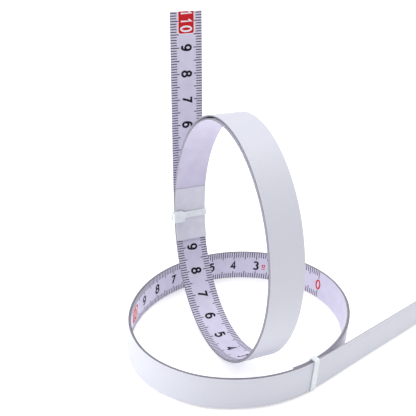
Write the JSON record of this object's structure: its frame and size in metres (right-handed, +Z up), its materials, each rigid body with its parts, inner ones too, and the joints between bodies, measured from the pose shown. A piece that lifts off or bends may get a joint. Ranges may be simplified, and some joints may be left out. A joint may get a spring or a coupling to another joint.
{
  "type": "self-adhesive ruler tape",
  "caption": "Self-adhesive steel ruler tape with no case: a flat coil with a straight tail and an upright coil with a straight strip, each held by a nylon cable tie.",
  "frame": {"origin": "middle of the outline at rest, on the surface it stands on", "axes": "+Z up, +X to the right of the view with the tail leading away to the right, +Y away from that view"},
  "size_m": [0.1205, 0.088, 0.1173],
  "materials": {
    "spring_steel": "rolled, slightly dull",
    "scale_coat": "satin white lacquer with a printed scale",
    "adhesive": "soft film",
    "release_liner": "smooth silicone-coated paper",
    "start_film": "satin film",
    "nylon": "natural nylon, slightly see-through"
  },
  "bodies": {
    "flat_coil": {"flat_band": "spring_steel", "flat_coat": "scale_coat", "flat_adhesive": "adhesive", "flat_liner": "release_liner", "flat_film": "start_film"},
    "flat_tail": {"flat_tail_band": "spring_steel", "flat_tail_coat": "scale_coat", "flat_tail_adhesive": "adhesive", "flat_tail_liner": "release_liner"},
    "flat_tie": {"flat_tie_strap": "nylon", "flat_tie_head": "nylon"},
    "flat_pawl": {"flat_tie_pawl": "nylon"},
    "upright_coil": {"hoop_band": "spring_steel", "hoop_coat": "scale_coat", "hoop_adhesive": "adhesive", "hoop_liner": "release_liner", "hoop_film": "start_film"},
    "upright_strip": {"hoop_strip_band": "spring_steel", "hoop_strip_coat": "scale_coat", "hoop_strip_adhesive": "adhesive", "hoop_strip_liner": "release_liner"},
    "upright_tie": {"hoop_tie_strap": "nylon", "hoop_tie_head": "nylon"},
    "upright_pawl": {"hoop_tie_pawl": "nylon"}
  },
  "joints": [
    {"name": "upright_coil_lift", "type": "slide", "parent": "flat_coil", "child": "upright_coil", "axis": [0, 0, 1], "range_m": [0, 0.05]},
    {"name": "tail_flex", "type": "hinge", "parent": "flat_coil", "child": "flat_tail", "pos_m": [0.02738, -0.01323, 0.00722], "axis": [0, 0, 1], "range_deg": [-15, 12], "stiffness_Nm_per_rad": 0.02},
    {"name": "strip_flex", "type": "hinge", "parent": "upright_coil", "child": "upright_strip", "pos_m": [-0.04319, 0.03336, 0.06664], "axis": [0.8902, 0.4555, 0], "range_deg": [-15, 12], "stiffness_Nm_per_rad": 0.02},
    {"name": "flat_tie_slide", "type": "hinge", "parent": "flat_coil", "child": "flat_tie", "pos_m": [-0.02723, 0.00954, 0.00722], "axis": [0, 0, 1], "range_deg": [-12, 0]},
    {"name": "upright_tie_slide", "type": "hinge", "parent": "upright_coil", "child": "upright_tie", "pos_m": [-0.01608, -0.01962, 0.04798], "axis": [0.8902, 0.4555, 0], "range_deg": [-12, 0]},
    {"name": "flat_pawl_flex", "type": "hinge", "parent": "flat_tie", "child": "flat_pawl", "pos_m": [0.00674, -0.0278, 0.0011], "axis": [0.7396, 0.673, 0], "range_deg": [-12, 0], "stiffness_Nm_per_rad": 0.0001},
    {"name": "upright_pawl_flex", "type": "hinge", "parent": "upright_tie", "child": "upright_pawl", "pos_m": [-0.04589, 0.02235, 0.03863], "axis": [-0.0822, 0.1607, 0.9836], "range_deg": [-12, 0], "stiffness_Nm_per_rad": 0.0001}
  ]
}
